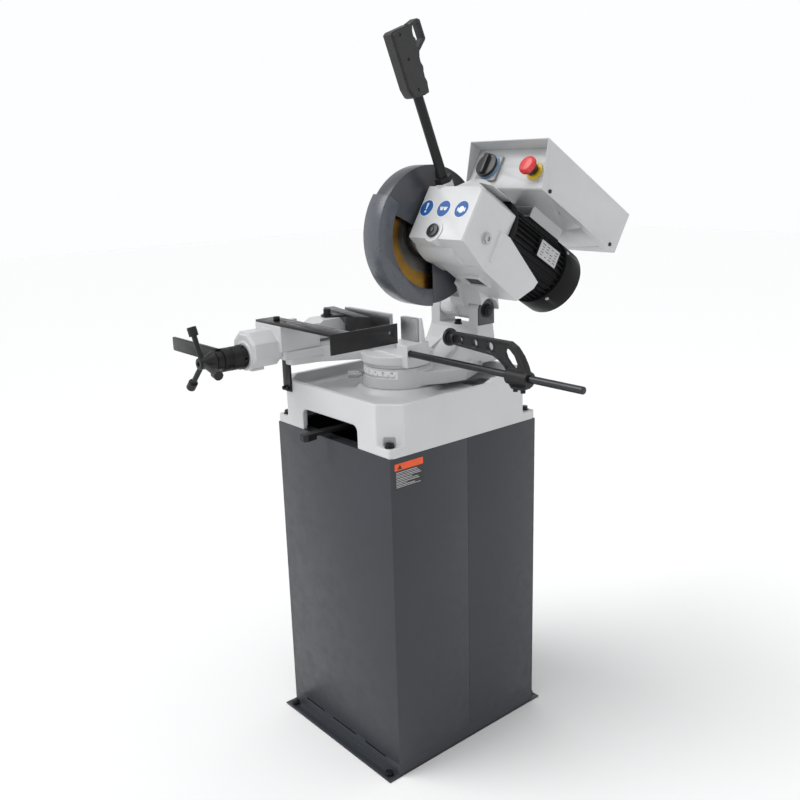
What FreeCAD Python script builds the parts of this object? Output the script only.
import FreeCAD, Part
import math
import os

# Manual circular cold saw on a sheet-steel stand, millimetres.
# +Z is up, -Y is the operator's side, +X is the gearbox side of the blade.
# The origin is the centre of the stand's footprint on the floor.

V = FreeCAD.Vector

# ---- driving dimensions -------------------------------------------------
STAND_HX = 210.0            # half width of the stand
STAND_HY = 223.5            # half depth of the stand
STAND_TOP = 760.0           # height of the stand
SHEET = 2.0                 # stand sheet thickness
SEAM = 0.3                  # half gap between the two stand shells
PLINTH_TOP = 31.0           # top of the floor tray's upturned walls
SWIVEL_Y = -20.0            # mitre axis, X = 0
TRAY_FLOOR = 846.0          # chip tray floor of the base casting
BOSS_TOP = 857.0            # seat of the swivel arm
ARM_TOP = 903.5             # top of the swivel hub
BED_BOTTOM = 904.0          # underside of the vise bed
BED_TOP = 960.0             # surface that carries the stock
POST_R = 30.0               # centre post radius
PIVOT_Y = 189.0             # head pivot axis, parallel to X
PIVOT_Z = 1008.0
CLEVIS_FLOOR = 969.0        # floor between the cheeks that hold the pivot shaft
STOP_X = 5.0                # depth stop screw, standing in the clevis floor
STOP_Y = 172.0
HEAD_TILT = -31.0           # slope of the head at rest, degrees
SPINDLE_U = -188.9          # spindle axis in head coordinates
SPINDLE_V = 98.8
BLADE_R = 137.5             # 275 mm blade
BLADE_T = 2.5
GUARD_R = 163.0             # outer radius of the swinging guard
MOTOR_X = 115.0             # motor axis in head coordinates
MOTOR_V = 146.0
OIL_PLUG = (-200.0, 93.5)   # (u, v) of the drain plug on the gearbox side
OIL_CAP = (108.6, 74.8)     # (x, v) of the filler cap on the gearbox front
ESTOP = (192.4, 296.0)      # (x, v) of the emergency stop on the control panel
VISE_X = -156.0             # vise screw axis
VISE_Z = 945.0
ROD_Y = -55.0               # length-stop rod axis
ROD_Z = 941.0
ROD_R = 7.5
ROD_START = 62.0
JAW_SCREWS = (-170.0, -70.0, 45.0, 64.0)   # X of the screws behind the jaw plates
JAW_SCREW_Z = 990.0


# ---- shape helpers ------------------------------------------------------
def box(x0, x1, y0, y1, z0, z1):
    return Part.makeBox(x1 - x0, y1 - y0, z1 - z0, V(x0, y0, z0))


def round_box(x0, x1, y0, y1, z0, z1, r, axis="Z"):
    """Box with the four edges along one axis rounded."""
    b = box(x0, x1, y0, y1, z0, z1)
    direction = {"X": V(1, 0, 0), "Y": V(0, 1, 0), "Z": V(0, 0, 1)}[axis]
    edges = [e for e in b.Edges if abs(e.tangentAt(e.FirstParameter).dot(direction)) > 0.99]
    return b.makeFillet(r, edges)


def cyl(r, h, base, direction):
    return Part.makeCylinder(r, h, V(*base), V(*direction))


def cyl_x(r, x0, x1, y, z):
    return cyl(r, x1 - x0, (x0, y, z), (1, 0, 0))


def cyl_y(r, y0, y1, x, z):
    return cyl(r, y1 - y0, (x, y0, z), (0, 1, 0))


def cyl_z(r, z0, z1, x, y):
    return cyl(r, z1 - z0, (x, y, z0), (0, 0, 1))


def cone(r0, r1, h, base, direction):
    return Part.makeCone(r0, r1, h, V(*base), V(*direction))


def face(points):
    return Part.Face(Part.makePolygon([V(*p) for p in points] + [V(*points[0])]))


def prism_x(profile, x0, x1):
    """Extrude a (y, z) profile along X."""
    return face([(x0, y, z) for y, z in profile]).extrude(V(x1 - x0, 0, 0))


def prism_y(profile, y0, y1):
    """Extrude an (x, z) profile along Y."""
    return face([(x, y0, z) for x, z in profile]).extrude(V(0, y1 - y0, 0))


def prism_z(profile, z0, z1):
    """Extrude an (x, y) profile along Z."""
    return face([(x, y, z0) for x, y in profile]).extrude(V(0, 0, z1 - z0))


def fuse(*shapes):
    out = shapes[0]
    for s in shapes[1:]:
        out = out.fuse(s)
    return out.removeSplitter()


def cut(shape, *tools):
    for t in tools:
        shape = shape.cut(t)
    return shape


def group(*shapes):
    return Part.makeCompound(list(shapes))


def turned(shape, centre, axis, angle):
    s = shape.copy()
    s.rotate(V(*centre), V(*axis), angle)
    return s


def moved(shape, x, y, z):
    s = shape.copy()
    s.translate(V(x, y, z))
    return s


def hexagon(flats, h, base, direction, spin=0.0):
    """Hexagonal prism with its first corner turned by spin degrees."""
    r = flats / math.sqrt(3)
    pts = [(r * math.cos(math.radians(60 * i + spin)), r * math.sin(math.radians(60 * i + spin)), 0)
           for i in range(6)]
    s = face(pts).extrude(V(0, 0, h))
    s.Placement = FreeCAD.Placement(V(*base), FreeCAD.Rotation(V(0, 0, 1), V(*direction)))
    return s


def socket_screw(r, length, base, direction, head_r=None, head_h=None):
    """Socket-head cap screw: base is under the head, direction points out of the head."""
    head_r = head_r or 1.6 * r
    head_h = head_h or 2.0 * r
    d = V(*direction)
    d.normalize()
    b = V(*base)
    shank_start = b - d * length
    head = Part.makeCylinder(head_r, head_h, b, d)
    shank = Part.makeCylinder(r, length, shank_start, d)
    socket = hexagon(1.7 * r, 1.1 * r, tuple(b + d * (head_h - 1.1 * r)), direction)
    return cut(fuse(head, shank), socket)


def hex_bolt(r, length, base, direction, flats, head_h):
    """Hexagon-head bolt: base is under the head, direction points out of the head."""
    d = V(*direction)
    d.normalize()
    b = V(*base)
    head = hexagon(flats, head_h, tuple(b), direction)
    shank = Part.makeCylinder(r, length + 0.5, b - d * length, d)
    return fuse(head, shank)


def head_place(shape):
    """Carry a shape from head coordinates (x, u, v about the pivot) to the saw."""
    s = turned(shape, (0, 0, 0), (1, 0, 0), HEAD_TILT)
    return moved(s, 0, PIVOT_Y, PIVOT_Z)


def sector(r, x0, x1, cy, cz, a0, a1):
    """Solid pie sector about an X axis, angles in degrees from +Y towards +Z."""
    n = 24
    pts = [(cy, cz)]
    for i in range(n + 1):
        a = math.radians(a0 + (a1 - a0) * i / n)
        pts.append((cy + 2 * r * math.cos(a), cz + 2 * r * math.sin(a)))
    return cyl_x(r, x0, x1, cy, cz).common(prism_x(pts, x0 - 1, x1 + 1))


PARTS = {}


# ---- stand --------------------------------------------------------------
def build_stand():
    hx, hy, t = STAND_HX, STAND_HY, SHEET
    top = STAND_TOP - 0.05

    # rear half: folded sheet, open at the seam, with a bolting rim on top
    outer = box(-hx, hx, SEAM, hy, PLINTH_TOP, top)
    inner = box(-hx + t, hx - t, SEAM - 1, hy - t, PLINTH_TOP - 1, top - t)
    window = box(-hx + 30, hx - 30, SEAM - 1, hy - 30, top - t - 1, top + 1)
    lips = [box(x, x + 13, SEAM, SEAM + t, PLINTH_TOP, top) for x in (-hx + t / 2, hx - t / 2 - 13)]
    holes = [cyl_z(5.6, top - 5, top + 5, x, 207) for x in (-190, 190)]
    rear = cut(fuse(cut(outer, inner, window), *lips), *holes)
    PARTS["stand_rear_shell"] = rear
    PARTS["stand_front_shell"] = turned(rear, (0, 0, 0), (0, 0, 1), 180)

    # floor tray: plinth walls with foot flanges fore and aft
    floor = box(-hx - 2, hx + 2, -hy - 31, hy + 25, 0, 3)
    wall = cut(box(-hx, hx, -hy, hy, 3, PLINTH_TOP - 0.1),
               box(-hx + t, hx - t, -hy + t, hy - t, 3, PLINTH_TOP + 1))
    ledge = cut(box(-hx + t, hx - t, -hy + t, hy - t, PLINTH_TOP - 2.1, PLINTH_TOP - 0.1),
                box(-hx + 12, hx - 12, -hy + 12, hy - 12, 0, PLINTH_TOP + 1))
    slots = []
    for x0, x1 in ((-160, -84), (-46, 46), (84, 160)):
        for y0, y1 in ((-hy - 1, -hy + t + 0.5), (hy - t - 0.5, hy + 1)):
            slots.append(box(x0, x1, y0, y1, PLINTH_TOP - 7, PLINTH_TOP - 2.1))
    bolts = [(sx * 190, y) for sx in (-1, 1) for y in (-239, 236)]
    holes = [cyl_z(5.2, -1, 4, x, y) for x, y in bolts]
    PARTS["stand_floor_tray"] = cut(fuse(floor, wall, ledge), *(slots + holes))
    PARTS["stand_floor_bolts"] = group(*[hex_bolt(4.8, 2.95, (x, y, 3.0), (0, 0, 1), 17, 8)
                                         for x, y in bolts])


# ---- base casting -------------------------------------------------------
def octagon_plan(hx, hy, c):
    return [(-hx + c, -hy), (hx - c, -hy), (hx, -hy + c), (hx, hy - c),
            (hx - c, hy), (-hx + c, hy), (-hx, hy - c), (-hx, -hy + c)]


def build_base():
    hx, hy = STAND_HX, STAND_HY
    foot = round_box(-hx, hx, -hy, hy, STAND_TOP, 780, 8)
    body = prism_z(octagon_plan(hx, hy, 43), 779, 880)
    low_rim = prism_x([(-hy - 5, 871), (62, 871), (86, 880), (hy - 24, 880), (hy + 5, 880),
                       (hy + 5, 900), (-hy - 5, 900)], -hx - 5, hx + 5)
    casting = cut(fuse(foot, body), low_rim)
    casting = cut(casting, prism_z(octagon_plan(hx - 12, hy - 12, 40), TRAY_FLOOR, 890))
    casting = cut(casting, box(-hx + 12, hx - 12, -hy + 12, hy - 12, STAND_TOP - 1, 768))
    casting = cut(casting, prism_z(octagon_plan(hx - 14, hy - 14, 50), 767, TRAY_FLOOR - 12))
    pillar = cyl_z(48, 796, TRAY_FLOOR - 6, 0, SWIVEL_Y)
    boss = cone(104, 92, BOSS_TOP - TRAY_FLOOR, (0, SWIVEL_Y, TRAY_FLOOR), (0, 0, 1))
    boss = boss.common(box(-hx + 16, hx - 16, -hy + 16, hy - 16, 800, 900))
    ribs = [turned(box(-6, 6, 40, 150, 813, TRAY_FLOOR - 6), (0, 0, 0), (0, 0, 1), a)
            for a in (45, 135, 225, 315)]
    ribs = [moved(r, 0, SWIVEL_Y, 0) for r in ribs]
    casting = fuse(casting, pillar, boss, *ribs)
    # front mouth for the swivel lock lever, with rounded upper corners
    mouth = round_box(-105, 100, -hy - 5, -hy + 30, 750, 811, 14, "Y")
    casting = cut(casting, mouth, box(-105, 100, -hy - 5, -hy + 30, 750, 775))
    casting = cut(casting, cyl_z(22.05, 790, 870, 0, SWIVEL_Y))
    corner_holes = [cyl_z(5.6, 755, 785, sx * 190, sy * 207) for sx in (-1, 1) for sy in (-1, 1)]
    corner_holes += [cyl_z(14, 780, 800, sx * 190, sy * 207) for sx in (-1, 1) for sy in (-1, 1)]
    drain = round_box(88, 150, 106, 168, 820, 860, 6)
    seat = round_box(84, 154, 102, 172, TRAY_FLOOR - 3, 860, 8)
    strap_holes = [cyl_y(3.1, -hy - 1, -hy + 9, x, 852.0) for x in (-164, -148)]
    casting = cut(casting, *(corner_holes + [drain, seat] + strap_holes))
    PARTS["base_casting"] = casting

    bolts = []
    for sx in (-1, 1):
        for sy in (-1, 1):
            washer = cut(cyl_z(11, 780.0, 782.0, sx * 190, sy * 207),
                         cyl_z(5.0, 779, 783, sx * 190, sy * 207))
            bolt = hex_bolt(5.0, 32, (sx * 190, sy * 207, 782.0), (0, 0, 1), 16, 7)
            nut = cut(hexagon(17, 8, (sx * 190, sy * 207, 749.8), (0, 0, 1)),
                      cyl_z(5.0, 749, 759, sx * 190, sy * 207))
            bolts.append(fuse(washer, bolt, nut))
    PARTS["base_bolts"] = group(*bolts)

    # cast drain grate lying in the tray seat
    g = round_box(84.3, 153.7, 102.3, 171.7, TRAY_FLOOR - 3, TRAY_FLOOR + 1.0, 7.7)
    slots = [box(91, 147, y, y + 4, 830, 860) for y in range(109, 163, 8)]
    PARTS["drain_grate"] = cut(g, *slots)

    # centre post: shouldered pin, clamped from below by the lock lever nut
    post = fuse(cyl_z(22.0, 796, BOSS_TOP, 0, SWIVEL_Y),
                cyl_z(POST_R, BOSS_TOP, 929.9, 0, SWIVEL_Y),
                cyl_z(12.0, 766.5, 797, 0, SWIVEL_Y))
    PARTS["center_post"] = post

    # swivel lock lever: hub nut under the casting and a cranked flat handle
    hub = cyl_z(26, 772, 795.5, 0, SWIVEL_Y)
    blade = prism_z([(-9, -30), (9, -30), (-1, -230), (-3, -262), (-20, -262), (-24, -230)], 774, 782)
    tip = prism_z([(-3, -256), (1, -282), (-3, -292), (-18, -292), (-24, -282), (-20, -256)], 766, 782)
    lever = cut(fuse(hub, blade, tip), cyl_z(12.06, 760, 800, 0, SWIVEL_Y))
    PARTS["swivel_lock_lever"] = lever


# ---- swivel arm and column ---------------------------------------------
def build_arm():
    seat = BOSS_TOP + 0.1
    hub = cone(84.5, 79, ARM_TOP - seat, (0, SWIVEL_Y, seat), (0, 0, 1))
    plan = [(-84, -28), (84, -28), (112, 30), (122, 84), (87, 161), (81, 168), (81, 216),
            (-81, 216), (-81, 168), (-87, 161), (-122, 84), (-112, 30)]
    plate = prism_z(plan, 862, 899)
    rise = prism_x([(163, 855), (186, 884), (230, 884), (230, 850), (163, 850)], -130, 130)
    top_slope = prism_x([(-60, 905), (-60, 893), (60, 893), (150, 905)], -150, 150)
    top_slope = cut(top_slope, cyl_z(84, 850, 910, 0, SWIVEL_Y))
    plate = cut(plate, rise, top_slope)
    column_front = [(-94, 884), (94, 884), (90, 915), (81, CLEVIS_FLOOR), (-84, CLEVIS_FLOOR), (-90, 915)]
    column = prism_y(column_front, 163, 216)
    foot = prism_x([(163, 890), (96, 890), (150, 930), (163, 962)], -95, 95)
    foot = foot.common(prism_y(column_front, 90, 170))
    gussets = [prism_x([(163, 893), (72, 893), (150, 934), (163, 955)], x, x + 9)
               for x in (-40, 31)]
    cheeks = []
    for x0, x1 in ((-83, -51), (51, 81)):
        cheek = fuse(box(x0, x1, 163, 216, 960, PIVOT_Z), cyl_x(26.5, x0, x1, 189.5, PIVOT_Z))
        cheeks.append(cheek)
    arm = fuse(hub, plate, column, foot, *(gussets + cheeks))
    arm = cut(arm, cyl_z(POST_R + 0.05, 850, 910, 0, SWIVEL_Y))
    arm = cut(arm, cyl_x(14.02, -90, 90, PIVOT_Y, PIVOT_Z))
    arm = cut(arm, cyl_z(5.05, 948, 980, STOP_X, STOP_Y))
    # cored underside of the arm
    arm = cut(arm, box(-66, 66, 76, 152, 855, 886))
    # radial bore for the index plunger
    arm = cut(arm, cyl(5.05, 60, (0 - 0.5908 * 55, SWIVEL_Y - 0.8068 * 55, 880), (-0.5908, -0.8068, 0)))
    PARTS["swivel_arm"] = arm

    # sprung index plunger: knurled knob on a pin, pulled outwards to release
    d = (-0.5908, -0.8068, 0)
    c = (0, SWIVEL_Y, 880)

    def along(r):
        return (c[0] + d[0] * r, c[1] + d[1] * r, c[2])

    pin = cyl(5.0, 35, along(56), d)
    knob = cyl(9.5, 26, along(90.5), d)
    collar = cyl(7.0, 6, along(87.0), d)
    grooves = []
    for i in range(16):
        a = math.radians(i * 22.5)
        n = V(-d[1], d[0], 0)
        off = n * (9.9 * math.cos(a)) + V(0, 0, 1) * (9.9 * math.sin(a))
        p = V(*along(94)) + off
        grooves.append(Part.makeCylinder(1.0, 20, p, V(*d)))
    PARTS["index_plunger"] = cut(fuse(pin, knob, collar), *grooves)

    # pivot shaft with its nut and the rounded cover plate
    shaft = fuse(cyl_x(14.0, -84, 84.9, PIVOT_Y, PIVOT_Z), cyl_x(20, -90, -83.05, PIVOT_Y, PIVOT_Z),
                 cyl_x(8, 84, 96, PIVOT_Y, PIVOT_Z))
    PARTS["pivot_shaft"] = shaft
    cover = fuse(box(81, 85, 163.5, 215.5, 974, PIVOT_Z), cyl_x(26, 81, 85, 189.5, PIVOT_Z))
    PARTS["pivot_cover"] = cut(cover, cyl_x(14.1, 80, 90, PIVOT_Y, PIVOT_Z))
    nut = cut(fuse(hexagon(24, 9, (85, PIVOT_Y, PIVOT_Z), (1, 0, 0)),
                   cyl_x(17, 85, 87, PIVOT_Y, PIVOT_Z)), cyl_x(8.02, 80, 99, PIVOT_Y, PIVOT_Z))
    PARTS["pivot_nut"] = nut

    # depth stop: hexagon screw with a lock nut standing in the clevis floor
    stop = fuse(cyl_z(5, 949.5, 978, STOP_X, STOP_Y),
                hexagon(17, 5, (STOP_X, STOP_Y, CLEVIS_FLOOR), (0, 0, 1)),
                hexagon(15, 5, (STOP_X, STOP_Y, CLEVIS_FLOOR + 6.5), (0, 0, 1), 20))
    PARTS["depth_stop_screw"] = stop

    # return spring: flat coils around the pivot shaft, in a pocket of the head barrel
    ridge = [(0.0, 17.4), (0.6, 19.1), (1.6, 19.4), (2.8, 19.4), (3.8, 19.1), (4.4, 17.4)]
    outline = [(i * 4.4 + x, r) for i in range(4) for x, r in ridge[:5]] + [(17.6, 17.4)]
    outline += [(x, 34.9 - r) for x, r in reversed(outline[1:-1])]
    coil = Part.Face(Part.makePolygon([V(x, r, 0) for x, r in outline + outline[:1]]))
    coil = coil.revolve(V(0, 0, 0), V(1, 0, 0), 360)
    coil = moved(coil, -48.2, PIVOT_Y, PIVOT_Z)
    leg = box(-50.9, -45.0, PIVOT_Y - 2, PIVOT_Y + 4, PIVOT_Z - 19.0, PIVOT_Z - 16.4)
    PARTS["return_spring"] = fuse(coil, leg)


# ---- vise ---------------------------------------------------------------
def blade_relief():
    """Fan-shaped clearance for the blade at every mitre angle."""
    tools = []
    for sign, r in ((-1, 74), (1, 92)):
        pts = [(0, SWIVEL_Y - sign * 6)]
        for i in range(13):
            a = math.radians(-49 + 98 * i / 12)
            pts.append((r * math.sin(a), SWIVEL_Y + sign * r * math.cos(a)))
        tools.append(prism_z(pts, 935, 975))
    return tools


def build_vise():
    # bed: turntable disc, block under the fixed jaws and arm to the screw housing
    disc = cyl_z(78, BED_BOTTOM, 932, 0, SWIVEL_Y)
    disc = fuse(disc, cyl_z(84, 912, 932, 0, SWIVEL_Y))
    block = prism_z([(-200, -60), (20, -60), (20, 2), (-200, 2)], 930, BED_TOP)
    front = ROD_Y - 9.5
    right_block = prism_z([(14, front), (88, front), (84, -5), (81, 6), (30, 8), (14, 2)], 908, BED_TOP)
    jaw_profile = [(-15, 950), (-15, 1014), (-9, 1014), (-3, 980), (1, 950)]
    left = prism_x(jaw_profile, -192, -19)
    right = prism_x(jaw_profile, 14, 78)
    left = cut(left, prism_z([(-19, -16), (-40, 5), (0, 5), (0, -16)], 940, 1020))
    right = cut(right, prism_z([(14, -16), (35, 5), (0, 5), (0, -16)], 940, 1020))
    arm = prism_z([(-40, -70), (-92, -160), (-104, -262), (-208, -262), (-208, -60), (-60, -40)],
                  930, 950)
    web = prism_z([(-20, -40), (-98, -170), (-112, -240), (-138, -240), (-150, -150), (-70, -20)],
                  914, 932)
    slide = box(-196, -116, -262, -60, 949, BED_TOP - 2)
    bed = fuse(disc, block, right_block, left, right, arm, web, slide)
    bed = cut(bed, *blade_relief())
    # guide groove for the saddle and clearance for the vise screw
    bed = cut(bed, box(-171, -141, -262.5, -62, 925, 965))
    bed = cut(bed, box(-200, -172, -262.5, -62, 955, 965), box(-140, -112, -262.5, -62, 955, 965))
    bed = cut(bed, cyl_z(POST_R + 0.02, 900, 930, 0, SWIVEL_Y))
    bed = cut(bed, cyl_x(ROD_R + 0.05, ROD_START - 1, 90, ROD_Y, ROD_Z))
    for x in JAW_SCREWS:
        bed = cut(bed, cyl_y(3.05, -16, 0, x, JAW_SCREW_Z), cyl_y(5.6, -10, 5, x, JAW_SCREW_Z))
    PARTS["vise_bed"] = bed

    # hardened jaw plates, screwed on from behind the fixed jaws
    for side, x0, x1 in (("left", -198, -24.5), ("right", 14.5, 71)):
        plate = box(x0, x1, -20, -15, BED_TOP + 0.5, 1013)
        holes = [cyl_y(3.02, -18, -14, x, JAW_SCREW_Z) for x in JAW_SCREWS if x0 < x < x1]
        PARTS["fixed_jaw_" + side] = cut(plate, *holes)

    # screw housing: box with an octagonal nose, open underneath for the saddle
    body = box(-209, -103, -271, -212, 950, 1009)
    body = fuse(body, prism_z([(-103, -271), (-103, -165), (-118, -165), (-118, -212)], 950, 1004),
                prism_z([(-209, -271), (-209, -165), (-194, -165), (-194, -212)], 950, 1004))
    def octagon(rx, rz):
        angles = [math.radians(22.5 + 45 * i) for i in range(8)]
        return [(VISE_X - 3 + rx * math.cos(a), 958 + rz * math.sin(a)) for a in angles]

    nose = prism_y(octagon(50, 44), -332, -262)
    inner = octagon(44, 38)
    flange = cyl_y(33, -338, -328, VISE_X, VISE_Z)
    nose = fuse(nose, flange, prism_y(inner, -335, -262), box(-176, -150, -322, -290, 908, 930))
    body = fuse(body, nose)
    body = cut(body, cyl_y(16.05, -340, -205, VISE_X, VISE_Z))
    body = cut(body, box(-189, -123, -262, -160, 925, 1005))
    body = cut(body, box(-250, -50, -262.4, -150, 900, 950.05))
    body = cut(body, box(-196.3, -115.7, -262.4, -150, 900, 958.1))
    body = cut(body, cyl_z(4.05, 990, 1010, -155, -246))
    body = cut(body, cyl_z(4.05, 990, 1010, -120, -246))
    PARTS["vise_body"] = body

    # saddle: slides in the bed groove and carries the movable jaw
    hump = prism_x([(-196, 961), (-196, 972), (-150, 996), (-136, 1004), (-88, 1004), (-74, 985),
                    (-74, 961)], -186, -126)
    tongue = box(-170, -142, -196, -74, 932, 962)
    saddle = cut(fuse(hump, tongue), cyl_y(9.0, -200, -60, VISE_X, VISE_Z),
                 cyl_z(5.05, 970, 1010, VISE_X, -104))
    saddle = cut(saddle, box(-200, -110, -200, -60, 955.1, 960.6).cut(
        box(-170, -142, -201, -59, 950, 970)))
    PARTS["vise_saddle"] = saddle

    # movable jaw: steel block with a bevelled end, turned a little on its bolt
    jaw = prism_z([(-250, -72), (-70, -72), (-42, -44), (-250, -44)], 964, 1012)
    jaw = cut(jaw, prism_y([(-60, 963), (-36, 963), (-36, 985)], -80, -40))
    ear = prism_z([(-186, -70), (-168, -116), (-144, -116), (-126, -70)], 1004.2, 1009)
    jaw = fuse(jaw, ear)
    jaw = cut(jaw, cyl_z(5.1, 1000, 1015, VISE_X, -104))
    jaw = cut(jaw, box(-187.5, -124.5, -73, -67, 960, 1004.2))
    PARTS["movable_jaw"] = turned(jaw, (VISE_X, -104, 0), (0, 0, 1), -12)

    washer = cut(cyl_z(12, 1009.0, 1011.5, VISE_X, -104), cyl_z(5.0, 1005, 1015, VISE_X, -104))
    PARTS["jaw_bolt"] = fuse(washer, socket_screw(5.0, 36, (VISE_X, -104, 1011.5), (0, 0, 1), 9, 12))

    # vise screw with the hub and three ball-ended spokes of the hand wheel
    screw = fuse(cyl_y(9.0, -432, -186, VISE_X, VISE_Z), cyl_y(8.0, -186, -100, VISE_X, VISE_Z))
    screw = fuse(screw, cyl_y(16.0, -326, -266, VISE_X, VISE_Z))
    PARTS["vise_screw"] = screw
    hub = fuse(cyl_y(13, -450, -436, VISE_X, VISE_Z),
               cone(13, 24, 22, (VISE_X, -436, VISE_Z), (0, 1, 0)))
    spokes = []
    for a in (108, 229.5, 350.5):
        ca, sa = math.cos(math.radians(a)), math.sin(math.radians(a))
        d = (ca, -0.08, sa)
        start = (VISE_X + ca * 6, -440, VISE_Z + sa * 6)
        spokes.append(cyl(6.0, 62, start, d))
        spokes.append(cyl(10.5, 20, (VISE_X + ca * 62, -444.6, VISE_Z + sa * 62), d))
    wheel = fuse(hub, *spokes)
    wheel = cut(wheel, cyl_y(9.0, -432, -410, VISE_X, VISE_Z))
    wheel = cut(wheel, hexagon(10, 6, (VISE_X, -451, VISE_Z), (0, 1, 0)))
    PARTS["handwheel"] = wheel

    # knurled clamp sleeve around the screw with its flat lever bar
    sleeve = fuse(cyl_y(26.5, -396, -339.5, VISE_X, VISE_Z), cyl_y(21, -411, -395, VISE_X, VISE_Z))
    sleeve = fuse(sleeve, cyl_y(28, -352, -342, VISE_X, VISE_Z))
    sleeve = cut(sleeve, cyl_y(9.06, -420, -330, VISE_X, VISE_Z))
    ring = cut(cyl_y(30, -378, -374, VISE_X, VISE_Z), cyl_y(25.3, -379, -373, VISE_X, VISE_Z))
    sleeve = cut(sleeve, ring)
    for a in range(0, 360, 60):
        d = (math.cos(math.radians(a)), 0, math.sin(math.radians(a)))
        sleeve = cut(sleeve, cyl(3, 12, (VISE_X + d[0] * 19, -347, VISE_Z + d[2] * 19), d))
    PARTS["clamp_sleeve"] = sleeve
    bar = round_box(-366, -160, -404, -396.2, 940, 972, 3, "Y")
    bar = cut(bar, cyl_y(21.0, -420, -390, VISE_X, VISE_Z))
    PARTS["clamp_lever_bar"] = bar

    # burr guard: flat bar on the screw housing with a plate along the stock side
    guard = box(-207, 86, -270, -217, 1009.05, 1014)
    plate = box(82, 86, -270, -89.5, 970, 1014)
    guard = fuse(guard, plate)
    guard = cut(guard, cyl_z(4.1, 1000, 1020, -155, -246), cyl_z(4.1, 1000, 1020, -120, -246),
                cyl_x(4, 80, 90, -111, 996))
    PARTS["burr_guard"] = guard

    # brace strap from the front wall of the casting to the vise arm
    hy = STAND_HY
    strap = fuse(box(-171, -141.5, -hy - 5, -hy, 845, 929.9),
                 box(-171, -141.5, -hy - 5, -hy + 22, 925, 929.9))
    strap = cut(strap, *[cyl_y(3.1, -hy - 6, -hy + 1, x, 852) for x in (-164, -148)])
    PARTS["brace_strap"] = strap

    screws = [socket_screw(3.0, 10, (x, -hy - 5, 852), (0, -1, 0)) for x in (-164, -148)]
    screws += [socket_screw(4.0, 15, (x, -246, 1014), (0, 0, 1), 7.5, 9) for x in (-155,)]
    screws += [socket_screw(3.0, 7.8, (x, -9.95, JAW_SCREW_Z), (0, 1, 0), 5, 4) for x in JAW_SCREWS]
    PARTS["vise_socket_screws"] = group(*screws)

    # length stop: rod in the bed, cast arm with lightening holes, clamp screws
    rod = cyl_x(ROD_R, ROD_START, 572, ROD_Y, ROD_Z)
    PARTS["stop_rod"] = rod.makeChamfer(1.0, [e for e in rod.Edges if e.Length < 60])
    outline = [(222, 1008.5), (390, 1008.5), (407, 1000), (422, 984), (433, 966), (440, 948), (441, 932),
               (436, 920), (426, 916), (397, 916), (389, 925), (388, 941), (378, 957), (362, 968),
               (346, 975), (222, 983)]
    plate = face([(x, ROD_Y, z) for x, z in outline])
    recess = plate.makeOffset2D(-5.0, 2).extrude(V(0, 12, 0))
    arm = moved(plate, 0, -7, 0).extrude(V(0, 14, 0))
    arm = cut(arm, moved(recess, 0, 3.5, 0), moved(recess, 0, -15.5, 0))
    for x, z, r in ((252, 995, 6.5), (294, 993.5, 8.0), (337, 992, 9.5)):
        ring = cut(cyl_y(r + 3, ROD_Y - 5.5, ROD_Y + 5.5, x, z), cyl_y(r, ROD_Y - 9, ROD_Y + 9, x, z))
        arm = cut(arm, cyl_y(r + 0.5, ROD_Y - 9, ROD_Y + 9, x, z))
        arm = fuse(arm, ring)
    lens = prism_y([(380, 995), (389, 993), (402, 982), (410, 968), (409, 959), (402, 957), (393, 964),
                    (382, 975), (377, 986)], ROD_Y - 9, ROD_Y + 9)
    boss = cyl_x(16, 386, 441, ROD_Y, ROD_Z - 2)
    pad = fuse(cyl_x(19, 213, 220, ROD_Y, 996), cyl_x(11, 219, 234, ROD_Y, 996))
    arm = fuse(cut(arm, lens), boss, pad)
    arm = cut(arm, cyl_x(ROD_R + 0.05, 380, 450, ROD_Y, ROD_Z))
    clamp_x = (403, 423)
    arm = cut(arm, *[cyl_z(3.05, 905, ROD_Z, x, ROD_Y) for x in clamp_x])
    PARTS["stop_arm"] = arm
    PARTS["stop_clamp_screws"] = group(*[socket_screw(3.0, 16, (x, ROD_Y, 915.9), (0, 0, -1), 5, 6)
                                         for x in clamp_x])


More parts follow.
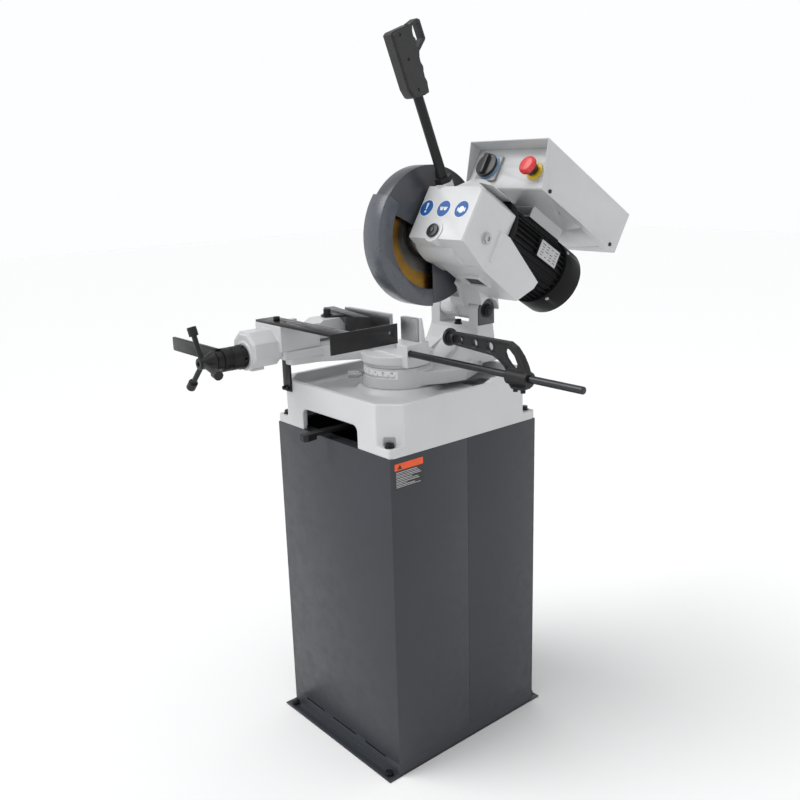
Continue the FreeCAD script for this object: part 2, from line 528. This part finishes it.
# ---- head ---------------------------------------------------------------
def build_head():
    su, sv = SPINDLE_U, SPINDLE_V
    mx, mv = MOTOR_X, MOTOR_V

    # gearbox housing, modelled level in head coordinates
    upper = prism_x([(-262, 58), (-262, 184), (-222, 197), (-133, 203), (-133, 38), (-170, 38)],
                    35, 205)
    crown = fuse(cyl_y(88, -205, -133, mx, mv),
                 cone(40, 88, 50, (mx, -255, mv), (0, 1, 0)))
    lower = prism_x([(-172, 37), (-25, 24), (-3, 68), (2, 85), (-133, 129), (-172, 129)], 62, 205)
    bulge = cyl_x(64, 35, 150, su, sv)
    rear_web = prism_x([(-150, 46), (-64, 38), (-20, 60), (-60, 104), (-133, 128)], 35, 95)
    arm_plan = [(-24, -4), (24, -4), (26, 20), (-10, 62), (-84, 60), (-84, 32), (-60, 28)]
    arm = fuse(prism_x(arm_plan, 30, 49.5), cut(prism_x(arm_plan, 49, 95), cyl_x(30, 45, 100, 0, 0)))
    neck_rib = prism_x([(-27, -6), (-18, -6), (-50, 40), (-84, 40), (-84, 28), (-66, 22)], 30, 37)
    spread = prism_x(arm_plan, -12, 35).common(cyl_x(42, -12, 35, 0, 0))
    barrel = cyl_x(25, -49.5, 50, 0, 0)
    housing = fuse(upper, crown, lower, bulge, rear_web, arm, neck_rib, spread, barrel)
    # machined motor clearance and left face
    housing = cut(housing, cyl_y(86.5, -133, 60, mx, mv))
    housing = cut(housing, box(-60, 35, -400, -66, -50, 300))
    # long bevels: under the gearbox side, over it, and at the rear and front of the side
    housing = cut(housing, prism_y([(206, 20), (188, 20), (206, 68)], -155, 10))
    housing = cut(housing, prism_y([(206, 20), (186, 20), (206, 56)], -270, -154))
    housing = cut(housing, prism_y([(206, 175.5), (138, 217), (206, 217)], -270, -100))
    housing = cut(housing, prism_z([(206, -166), (206, -132), (196, -132)], 129, 260))
    housing = cut(housing, prism_z([(201, -263), (206, -263), (206, -257)], 20, 260))
    # side rib, plug boss and filler boss
    rib = prism_z([(204, -171), (209, -167), (209, -161), (204, -156)], 57, 127)
    boss = cyl_x(15, 204, 207, *OIL_PLUG)
    cap_boss = cyl_y(25, -264.5, -236, *OIL_CAP)
    cap_boss = fuse(cap_boss, cone(25, 12, 22, (OIL_CAP[0], -236, OIL_CAP[1]), (0, 1, 0)))
    housing = fuse(housing, rib, boss, cap_boss)
    # worm wheel chamber, worm bore and spindle bores
    wheel_room = cyl_x(41, 84, 146, su, sv)
    worm_room = cyl_y(26, -246, -120, mx, mv)
    housing = cut(housing, wheel_room, worm_room, cyl_x(20.05, 30, 186, su, sv))
    housing = cut(housing, cyl_x(14.06, -60, 60, 0, 0), cyl_x(20.3, -60, -29.5, 0, 0))
    housing = cut(housing, cyl_x(8.05, 190, 210, *OIL_PLUG), cyl_y(8.05, -270, -250, *OIL_CAP))
    # inspection window in the underside, with a raised rim
    rim = cut(box(86, 156, -132, -80, 27, 40), box(92, 150, -126, -86, 20, 50))
    housing = fuse(housing, rim)
    housing = cut(housing, box(92, 150, -126, -86, 20, 40))
    # boss for the feed lever on the front upper edge
    housing = head_place(housing)
    lever_dir = V(0, -0.375, 0.927)
    foot_at = V(70, 68.5 + 0.375 * 45, 1316 - 0.927 * 45)
    housing = fuse(housing, Part.makeCylinder(19, 38, foot_at, lever_dir))
    housing = cut(housing, Part.makeCylinder(11.05, 42, foot_at + lever_dir * 12, lever_dir))
    # stop lug that meets the depth screw when the head is fully down
    lug = box(STOP_X - 8, STOP_X + 8, STOP_Y - 6, STOP_Y + 9, CLEVIS_FLOOR + 11.85, 994)
    lug = turned(lug, (0, PIVOT_Y, PIVOT_Z), (1, 0, 0), -40)
    housing = fuse(housing, lug)
    housing = cut(housing, cyl_x(14.06, -60, 60, PIVOT_Y, PIVOT_Z))
    PARTS["gearbox_housing"] = housing

    # gearbox cover on the blade side, with the boss that carries the guard
    cover = prism_x([(-258, 64), (-258, 180), (-222, 193), (-140, 199), (-140, 50), (-185, 50)],
                    29, 35)
    cover = fuse(cover, cyl_x(56, 20.05, 30, su, sv))
    cover = cut(cover, cyl_x(24, 10, 40, su, sv))
    cover = cut(cover, cyl_x(34, 10, 26, su, sv))
    PARTS["gearbox_cover"] = head_place(cover)

    cap = fuse(cyl_y(16, -270, -264.5, *OIL_CAP), cyl_y(8, -264.5, -251, *OIL_CAP),
               hexagon(13, 3, (OIL_CAP[0], -270, OIL_CAP[1]), (0, -1, 0)))
    PARTS["oil_cap"] = head_place(cap)
    plug = fuse(hexagon(20, 6, (207, *OIL_PLUG), (1, 0, 0)), cyl_x(8, 191, 207.5, *OIL_PLUG),
                cyl_x(14, 207, 209, *OIL_PLUG))
    plug = cut(plug, hexagon(9, 5, (209.5, *OIL_PLUG), (1, 0, 0)))
    PARTS["oil_plug"] = head_place(plug)

    # spindle, worm wheel and blade stack
    spindle = fuse(cyl_x(46, BLADE_T / 2, 8, su, sv), cyl_x(30, 7, 18, su, sv),
                   cyl_x(20, 17, 184, su, sv), cyl_x(16, -1.6, 8, su, sv))
    spindle = cut(spindle, cyl_x(6.02, -5, 40, su, sv))
    PARTS["spindle"] = head_place(spindle)

    teeth = 30
    tip, root = 32.4, 28.2
    pts = []
    for i in range(teeth):
        a = 360.0 / teeth * i
        for da, r in ((-3.6, root), (-1.5, tip), (1.5, tip), (3.6, root)):
            q = math.radians(a + da)
            pts.append((su + r * math.cos(q), sv + r * math.sin(q)))
    gear = prism_x(pts, 101, 129)
    gear = fuse(gear, cyl_x(26, 92, 138, su, sv))
    PARTS["worm_wheel"] = head_place(cut(gear, cyl_x(20.02, 80, 150, su, sv)))

    flange = fuse(cyl_x(42, -6, -BLADE_T / 2, su, sv), cyl_x(24, -10, -5, su, sv))
    flange = cut(flange, cyl_x(16.1, -2.4, 0, su, sv), cyl_x(6.1, -20, 0, su, sv))
    PARTS["blade_flange"] = head_place(flange)
    PARTS["blade_bolt"] = head_place(hex_bolt(6.0, 40, (-10, su, sv), (-1, 0, 0), 18, 7))

    # saw blade with raked teeth
    n = 96
    pts = []
    for i in range(n):
        a = math.radians(360.0 / n * i)
        b = math.radians(360.0 / n * (i + 0.78))
        pts.append((su + BLADE_R * math.cos(a), sv + BLADE_R * math.sin(a)))
        pts.append((su + (BLADE_R - 4.2) * math.cos(b), sv + (BLADE_R - 4.2) * math.sin(b)))
    blade = prism_x(pts, -BLADE_T / 2, BLADE_T / 2)
    holes = [cyl_x(16.05, -5, 5, su, sv)]
    PARTS["saw_blade"] = head_place(cut(blade, *holes))

    # fixed guard: drum shell over the top and rear of the blade
    cy = PIVOT_Y + su * math.cos(math.radians(HEAD_TILT)) - sv * math.sin(math.radians(HEAD_TILT))
    cz = PIVOT_Z + su * math.sin(math.radians(HEAD_TILT)) + sv * math.cos(math.radians(HEAD_TILT))
    a0, a1 = -90.0, 154.6
    shell = sector(158, -26, 20, cy, cz, a0, a1)
    room = sector(154.5, -23, 17, cy, cz, a0 - 20, a1 + 20)
    fixed = cut(shell, room)
    hub_plate = cyl_x(44, -26, -23, cy, cz)
    pivot_boss = cyl_x(20, -34, -23.5, cy, cz)
    fixed = fuse(fixed, hub_plate, pivot_boss)
    near_hub = cut(cyl_x(56, 17, 20, cy, cz), cyl_x(48, 16, 21, cy, cz))
    fixed = fuse(fixed, near_hub)
    fixed = cut(fixed, cyl_x(48, 16.5, 21, cy, cz), cyl_x(10.5, -40, -20, cy, cz))
    PARTS["fixed_guard"] = fixed

    # swinging guard: outer drum with a side ring and a hub on the fixed guard
    b0, b1 = 143.0, 268.0
    swing = cut(sector(GUARD_R, -30, 25, cy, cz, b0, b1), sector(159.5, -27, 22, cy, cz, b0 - 9, b1 + 9))
    swing = cut(swing, cyl_x(123, 21, 26, cy, cz))
    swing = fuse(swing, cyl_x(34, -30, -27, cy, cz))
    swing = cut(swing, cyl_x(20.06, -36, -20, cy, cz))
    PARTS["moving_guard"] = swing
    cap = fuse(cyl_x(26, -37, -34, cy, cz), cyl_x(10.4, -34.5, -24, cy, cz))
    PARTS["guard_cap"] = cap

    build_motor(mx, mv)
    build_box()
    build_lever(lever_dir)


def build_motor(mx, mv):
    # finned stator frame, flange ring and rear shield
    core = cyl_y(72.5, -132.5, 80, mx, mv)
    fins = []
    for i in range(36):
        a = 10.0 * i + 5
        f = box(mx - 1.3, mx + 1.3, -118, 78, mv + 68, mv + 80)
        fins.append(turned(f, (mx, 0, mv), (0, 1, 0), a))
    ring = cyl_y(85.5, -132.5, -118, mx, mv)
    shield = cyl_y(81.7, 78, 88, mx, mv)
    plate_pad = box(mx + 62, mx + 80.2, -28, 50, 138, 182)
    top_pad = box(mx - 34, mx + 34, -46, 77, mv + 60, mv + 80)
    body = fuse(core, ring, shield, plate_pad, top_pad, *fins)
    body = cut(body, cyl_y(47, -124, 76, mx, mv), cyl_y(26, -140, -120, mx, mv),
               cyl_y(10.05, 70, 100, mx, mv))
    PARTS["motor_body"] = head_place(body)

    outside = cyl_y(84.5, 79, 147, mx, mv)
    outside = outside.makeChamfer(5, [e for e in outside.Edges if e.BoundBox.YMin > 146.9])
    cover = cut(outside, cyl_y(82.0, 78, 141, mx, mv), cyl_y(78.0, 140, 144.5, mx, mv))
    slots = []
    for i in range(10):
        a = 36.0 * i + 3
        s = box(mx - 5, mx + 5, 140, 150, mv + 22, mv + 66)
        slots.append(turned(s, (mx, 0, mv), (0, 1, 0), a))
    screws = []
    for a in (40, 130, 220, 310):
        d = (math.cos(math.radians(a)), 0, math.sin(math.radians(a)))
        at = (mx + d[0] * 83.0, 90, mv + d[2] * 83.0)
        screws.append(cyl(4.5, 3.6, at, d))
    cover = fuse(cut(cover, *slots), *screws)
    PARTS["motor_fan_cover"] = head_place(cover)

    hub = cyl_y(20, 98, 122, mx, mv)
    blades = []
    for i in range(8):
        s = box(mx - 1.5, mx + 1.5, 99, 121, mv + 18, mv + 72)
        blades.append(turned(s, (mx, 0, mv), (0, 1, 0), 45.0 * i))
    fan = cut(fuse(hub, cyl_y(72, 98, 100, mx, mv), *blades), cyl_y(9.52, 90, 130, mx, mv))
    fan = turned(fan, (mx, 0, mv), (0, 1, 0), 11)
    PARTS["motor_fan"] = head_place(fan)

    # rotor shaft with the worm cut on its front end
    worm = cyl_y(13.6, -222, -156, mx, mv)
    for i in range(9):
        y = -218 + i * 7.0
        worm = cut(worm, cut(cyl_y(15, y, y + 3.2, mx, mv), cyl_y(10.6, y - 1, y + 4.2, mx, mv)))
    rotor = fuse(worm, cyl_y(10.6, -240, -110, mx, mv), cyl_y(10.0, -110, 92, mx, mv),
                 cyl_y(44, -70, 60, mx, mv), cyl_y(9.5, 91, 124, mx, mv))
    PARTS["worm_shaft"] = head_place(rotor)

    name = round_box(mx + 80.25, mx + 81.25, -25, 47, 140, 180, 2, "X")
    PARTS["motor_nameplate"] = head_place(name)


def build_box():
    # sheet-metal control box with an oblique hooded front, on a folded bracket
    outer = prism_x([(-122.4, 253.2), (189.2, 253.2), (190.7, 357.2), (-161.8, 357.2)], -10, 232)
    inner = prism_x([(-190, 255.0), (187.4, 255.0), (188.9, 355.4), (-190, 355.4)], -8.2, 230.2)
    shell = cut(outer, inner)
    bracket = cut(box(81, 149, -43, 77, 226.05, 253.3), box(84, 146, -44, 78, 229, 250.3))
    shell = fuse(shell, bracket)
    marks = [cyl_z(2.2, 250, 260, x, u) for x, u in ((200, -11), (215, 60), (200, 157), (20, 60))]
    heads = [fuse(cyl_x(4.6, 232, 234.6, u, 261.5), cyl_x(2.4, 229, 232.5, u, 261.5))
             for u in (-98.6, 159.9)]
    shell = fuse(cut(shell, *marks), *heads)
    PARTS["control_box"] = head_place(shell)

    panel = box(-8.0, 230.0, -124, -122, 255.2, 355.2)
    panel = fuse(panel, box(-8.0, 230.0, -122.5, -110, 255.2, 256.7),
                 box(-8.0, 230.0, -122.5, -110, 353.7, 355.2))
    panel = cut(panel, cyl_y(11.1, -130, -115, *ESTOP), cyl_y(6.1, -130, -115, 50, 306))
    PARTS["control_panel"] = head_place(panel)

    plate = round_box(18, 82, -131, -124, 272, 336, 4, "Y")
    plate = fuse(plate, cyl_y(31, -136, -130, 50, 306))
    plate = cut(plate, cyl_y(6.06, -140, -115, 50, 306))
    PARTS["switch_plate"] = head_place(plate)
    knob = fuse(cyl_y(29, -144, -136.3, 50, 306), round_box(43, 57, -154, -142, 281, 331, 4, "Y"),
                cyl_y(6.0, -137, -116, 50, 306))
    PARTS["rotary_switch"] = head_place(knob)

    ring = cut(fuse(cyl_y(21, -127.5, -124, *ESTOP), cyl_y(11.0, -125, -112, *ESTOP)),
               cyl_y(8.56, -130, -110, *ESTOP))
    PARTS["estop_ring"] = head_place(ring)
    stem = fuse(cyl_y(8.5, -150, -116, *ESTOP), cyl_y(15, -150, -133, *ESTOP))
    mushroom = fuse(cyl_y(21.5, -156, -149, *ESTOP),
                    cone(21.5, 16, 5, (ESTOP[0], -156, ESTOP[1]), (0, -1, 0)))
    PARTS["estop_button"] = head_place(fuse(stem, mushroom))


def build_lever(up):
    # feed lever: tube with a hexagon collar, two-part grip and trigger
    x = 70.0
    foot = V(x, 68.5 + 0.375 * 32, 1316 - 0.927 * 32)
    tube = cut(Part.makeCylinder(11.0, 270, foot, up), Part.makeCylinder(8.5, 272, foot - up, up))
    collar_at = V(x, 68.5 + 0.375 * 6.9, 1316 - 0.927 * 6.9)
    collar = hexagon(34, 12, tuple(collar_at), tuple(up))
    tube = fuse(tube, cut(collar, Part.makeCylinder(10, 40, collar_at - up * 5, up)))
    PARTS["lever_tube"] = tube

    outline = [(-83, 1605), (-78, 1611), (-32, 1629), (-27, 1626), (-20.5, 1606), (-16, 1603),
               (-12, 1596), (-12, 1586), (-5, 1577), (-5, 1567), (-2, 1557), (5, 1549), (6, 1538),
               (9, 1528), (16, 1519), (17, 1511), (21, 1497), (9, 1491), (-22, 1483), (-29, 1485),
               (-41, 1500)]
    middle = face([(x - 12.5, y, z) for y, z in outline])
    slim = middle.makeOffset2D(-4.0, 2)
    grip = fuse(middle.extrude(V(25, 0, 0)), moved(slim, -4.5, 0, 0).extrude(V(34, 0, 0)))
    loop_out = [(-30, 1629), (-9, 1642), (-1, 1640), (14, 1605), (13, 1601), (-6, 1574), (-12, 1578)]
    loop_in = [(-22, 1628), (-9, 1636), (-5, 1634), (8, 1605), (-10, 1580), (-22, 1600)]
    loop = cut(prism_x(loop_out, x - 11, x + 11), prism_x(loop_in, x - 12, x + 12))
    grip = fuse(grip, loop)
    pocket = prism_x([(-42, 1599), (-36, 1628), (-14, 1634), (-10, 1600), (-18, 1596)], x - 8.3, x + 8.3)
    grip = cut(grip, pocket)
    grip = cut(grip, Part.makeCylinder(11.02, 300, foot, up))
    for y, z in ((-61.6, 1606), (-39.6, 1559.5), (-13.8, 1501)):
        grip = cut(grip, cyl_x(3.2, x + 14, x + 20, y, z))
    PARTS["lever_grip"] = grip

    trigger = prism_x([(-34, 1602), (-33, 1623), (-23, 1627), (-19.5, 1612), (-20, 1601)],
                      x - 8, x + 8)
    PARTS["trigger"] = trigger

    # short control cable from inside the lever tube down into the gearbox top
    r = 2.5
    start = V(x, 68.5 - 0.375 * 36, 1316 + 0.927 * 36)
    corner = start + V(-20, 0, 0) - up * 20
    end = corner - up * 33
    first = corner - start
    turn = math.radians(45)
    radius = 0.45 * first.Length / math.tan(turn / 2)
    reach = radius * math.tan(turn / 2)
    arc_in = corner - first.normalize() * reach
    arc_out = corner - up * reach
    first_dir = V(first.x, first.y, first.z)
    bisector = (first_dir * -1 - up)
    bisector.normalize()
    arc_mid = corner + bisector * (radius / math.cos(turn / 2) - radius)
    path = Part.Wire([Part.LineSegment(start, arc_in).toShape(),
                      Part.Arc(arc_in, arc_mid, arc_out).toShape(),
                      Part.LineSegment(arc_out, end).toShape()])
    section = Part.Wire([Part.makeCircle(r, start, first_dir)])
    cable = path.makePipeShell([section], True, True)
    want = math.pi * r * r * path.Length
    print(f"lever cable: bend radius {radius:.1f}, length {path.Length:.1f}, "
          f"volume {cable.Volume:.1f} for {want:.1f}")
    PARTS["lever_cable"] = cable


build_stand()
build_base()
build_arm()
build_vise()
build_head()

os.makedirs("parts", exist_ok=True)
for name, shape in PARTS.items():
    if not shape.isValid():
        print("INVALID", name)
    print(f"{name:22s} solids {len(shape.Solids):3d}  volume {shape.Volume / 1000.0:10.1f} cm3")
    shape.exportStep(f"parts/{name}.step")
print("nodes", len(PARTS))
